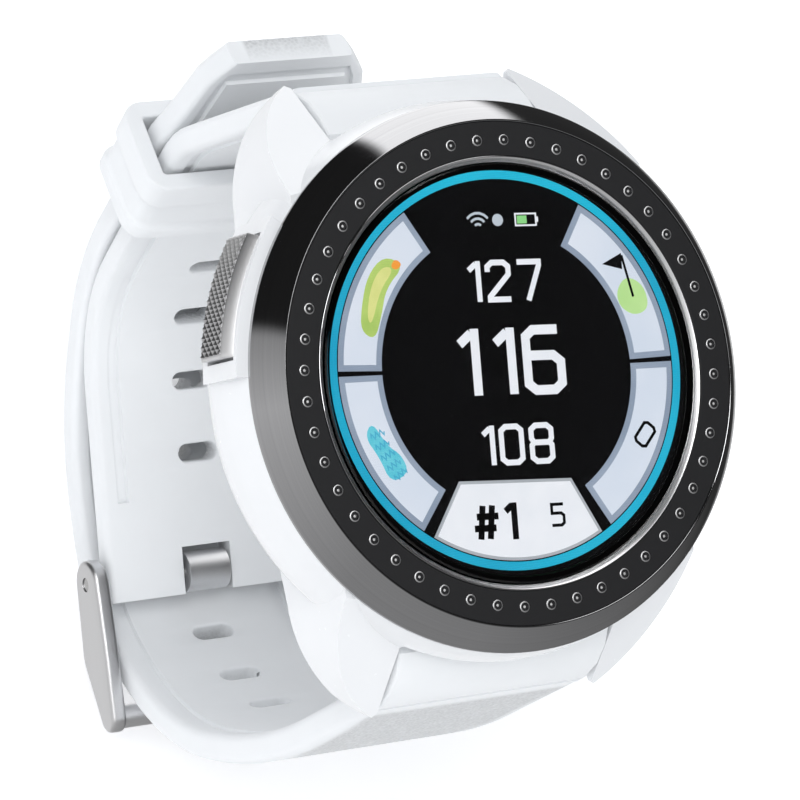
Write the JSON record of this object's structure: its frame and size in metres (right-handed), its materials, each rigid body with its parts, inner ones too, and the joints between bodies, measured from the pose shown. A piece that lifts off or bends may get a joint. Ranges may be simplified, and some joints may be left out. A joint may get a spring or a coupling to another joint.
{
  "type": "golf gps watch",
  "caption": "Round sports watch with a steel-rimmed face, a side button, spring bars at the lugs, and a two-part silicone strap closed by a buckle and keeper.",
  "frame": {"origin": "centre of the case back's outer flat face", "axes": "+Z out of the watch face, +Y towards 12 o'clock, +X towards 3 o'clock"},
  "size_m": [0.0471, 0.0616, 0.0683],
  "materials": {
    "case_white": "polished white moulding",
    "strap_silicone": "matt white silicone, finely grained",
    "bezel_steel": "brushed and polished bevel",
    "insert_black": "matt black",
    "stud_silver": "polished dimples",
    "lens_glass": "clear glass",
    "display": "round colour display",
    "seal_rubber": "matt black rubber",
    "flex_amber": "polyimide film",
    "inner_plastic": "matt moulding",
    "board_green": "solder mask",
    "tin_plate": "tin-plated sheet",
    "ceramic": "fired ceramic",
    "battery_foil": "satin pouch foil",
    "pin_steel": "turned steel",
    "back_black": "fine matt texture",
    "contact_gold": "gold-plated",
    "button_steel": "diamond knurl with a polished bevel",
    "buckle_steel": "satin brushed"
  },
  "bodies": {
    "watch": {"back_screws": "pin_steel", "back_seal": "seal_rubber", "battery": "battery_foil", "battery_pad": "seal_rubber", "bezel_insert": "insert_black", "bezel_ring": "bezel_steel", "bezel_seal": "seal_rubber", "bezel_studs": "stud_silver", "board_screws": "pin_steel", "button_seals": "seal_rubber", "button_springs": "pin_steel", "case_back": "back_black", "case_body": "case_white", "charge_contacts": "contact_gold", "charge_magnets": "pin_steel", "display_flex": "flex_amber", "display_panel": "display", "gps_antenna": "ceramic", "inner_frame": "inner_plastic", "lens": "lens_glass", "lens_gasket": "seal_rubber", "lower_bar": "pin_steel", "lower_bar_spring": "pin_steel", "lower_strap": "strap_silicone", "main_board": "board_green", "shield_can": "tin_plate", "tact_switch": "inner_plastic", "upper_bar": "pin_steel", "upper_bar_spring": "pin_steel", "upper_strap": "strap_silicone", "vibration_motor": "pin_steel"},
    "side_button": {"button_cap": "button_steel", "button_stems": "pin_steel", "button_yoke": "pin_steel"},
    "switch_plunger": {"switch_plunger": "inner_plastic"},
    "upper_release": {"upper_bar_plunger": "pin_steel"},
    "lower_release": {"lower_bar_plunger": "pin_steel"},
    "keeper": {"keeper": "strap_silicone"},
    "buckle": {"buckle_frame": "buckle_steel", "buckle_bar": "pin_steel"},
    "tongue": {"buckle_tongue": "buckle_steel"}
  },
  "joints": [
    {"name": "side_button_press", "type": "slide", "parent": "watch", "child": "side_button", "axis": [0.9272, -0.3746, 0], "range_m": [0, 0.00035], "stiffness_N_per_m": 3000, "springref_m": -0.0003, "deforming": ["button_springs"]},
    {"name": "switch_press", "type": "slide", "parent": "watch", "child": "switch_plunger", "axis": [0.9272, -0.3746, 0], "range_m": [0, 0.00035]},
    {"name": "upper_bar_release", "type": "slide", "parent": "watch", "child": "upper_release", "axis": [1, 0, 0], "range_m": [0, 0.0012], "stiffness_N_per_m": 400, "springref_m": -0.001, "deforming": ["upper_bar_spring"]},
    {"name": "lower_bar_release", "type": "slide", "parent": "watch", "child": "lower_release", "axis": [1, 0, 0], "range_m": [0, 0.0012], "stiffness_N_per_m": 400, "springref_m": -0.001, "deforming": ["lower_bar_spring"]},
    {"name": "keeper_slide", "type": "slide", "parent": "watch", "child": "keeper", "axis": [0, 0.4571, 0.8894], "range_m": [-0.004, 0]},
    {"name": "buckle_swing", "type": "hinge", "parent": "watch", "child": "buckle", "pos_m": [0, -0.0119, -0.04962], "axis": [1, 0, 0], "range_deg": [0, 4]},
    {"name": "tongue_swing", "type": "hinge", "parent": "buckle", "child": "tongue", "pos_m": [0, -0.0119, -0.04962], "axis": [1, 0, 0], "range_deg": [0, 2.5]}
  ],
  "couplings": [
    {"joint": "switch_press", "follows": "side_button_press", "ratio": 1}
  ]
}
